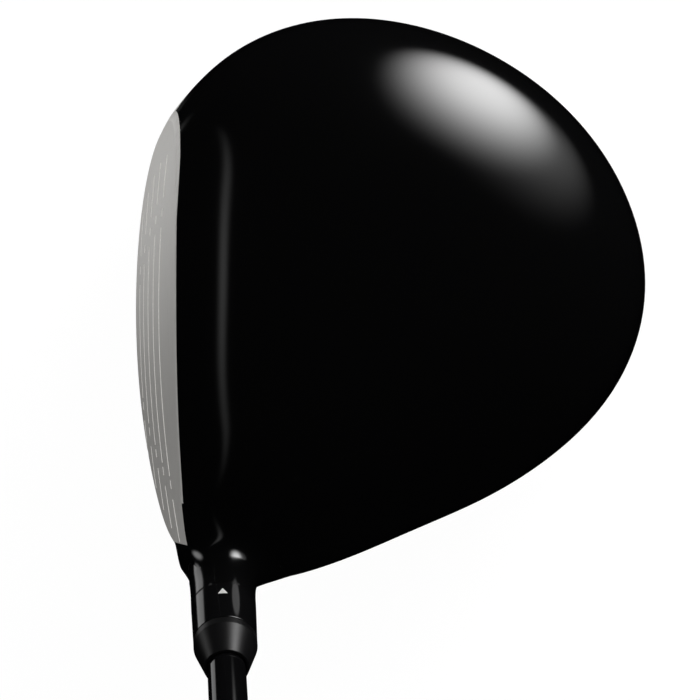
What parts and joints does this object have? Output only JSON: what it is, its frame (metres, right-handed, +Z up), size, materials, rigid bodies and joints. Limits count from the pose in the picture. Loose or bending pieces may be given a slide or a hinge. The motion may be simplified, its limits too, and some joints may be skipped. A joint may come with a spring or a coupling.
{
  "type": "golf driver",
  "caption": "Right-handed adjustable golf driver: hollow 460 cc head with a lofted face, removable shaft on a keyed hosel sleeve, rear sole weight, tapered shaft and rubber grip.",
  "frame": {"origin": "middle of the flat pad in the sole that the head rests on, under the centre of the head", "axes": "+Z up, the face looks along -X, +Y to the toe; the shaft rises towards -Y at the lie angle"},
  "size_m": [0.1189, 0.7313, 0.9822],
  "materials": {
    "face_titanium": "fine horizontal brushing, scored",
    "head_black": "high gloss",
    "crown_black": "high gloss",
    "sole_carbon": "woven carbon under clear coat",
    "raw_titanium": "as machined",
    "ring_black": "gloss black anodised",
    "sleeve_aluminium": "satin anodised",
    "ferrule_black": "satin",
    "screw_steel": "bright",
    "shaft_black": "gloss clear coat over carbon fibre",
    "brass": "plain",
    "tape": "masking tape",
    "grip_rubber": "fine moulded texture",
    "cap_rubber": "smooth moulded",
    "weight_tungsten": "dark satin"
  },
  "bodies": {
    "head": {"face_cup": "face_titanium", "body_shell": "head_black", "crown_shell": "crown_black", "sole_panel": "sole_carbon", "hosel_tube": "raw_titanium"},
    "setting_ring": {"adapter_ring": "ring_black"},
    "shaft_assembly": {"adapter_sleeve": "sleeve_aluminium", "ferrule": "ferrule_black", "shaft": "shaft_black", "shaft_tip_plug": "brass", "grip_tape": "tape", "grip": "grip_rubber", "grip_cap": "cap_rubber"},
    "washer": {"screw_washer": "screw_steel"},
    "hosel_screw": {"adapter_screw": "screw_steel"},
    "weight": {"rear_weight": "weight_tungsten"},
    "weight_screw": {"rear_weight_screw": "screw_steel"}
  },
  "joints": [
    {"name": "adapter_release", "type": "slide", "parent": "head", "child": "setting_ring", "axis": [0.0281, -0.5366, 0.8434], "range_m": [0, 0.042]},
    {"name": "adapter_turn", "type": "hinge", "parent": "setting_ring", "child": "shaft_assembly", "pos_m": [-0.03283, -0.07163, 0.06072], "axis": [0.0281, -0.5366, 0.8434], "continuous": true},
    {"name": "hosel_screw_travel", "type": "slide", "parent": "head", "child": "washer", "axis": [-0.0281, 0.5366, -0.8434], "range_m": [0, 0.0064]},
    {"name": "hosel_screw_turn", "type": "hinge", "parent": "washer", "child": "hosel_screw", "pos_m": [-0.03401, -0.0491, 0.0253], "axis": [-0.0281, 0.5366, -0.8434], "range_deg": [0, 2882]},
    {"name": "rear_weight_travel", "type": "slide", "parent": "head", "child": "weight", "axis": [0.465, 0, -0.8853], "range_m": [0, 0.0064]},
    {"name": "rear_weight_screw_turn", "type": "hinge", "parent": "weight", "child": "weight_screw", "pos_m": [0.048, 0, 0.00761], "axis": [0.465, 0, -0.8853], "range_deg": [0, 2882]}
  ],
  "couplings": [
    {"joint": "hosel_screw_turn", "follows": "hosel_screw_travel", "rad_per_m": 7854},
    {"joint": "rear_weight_screw_turn", "follows": "rear_weight_travel", "rad_per_m": 7854}
  ]
}
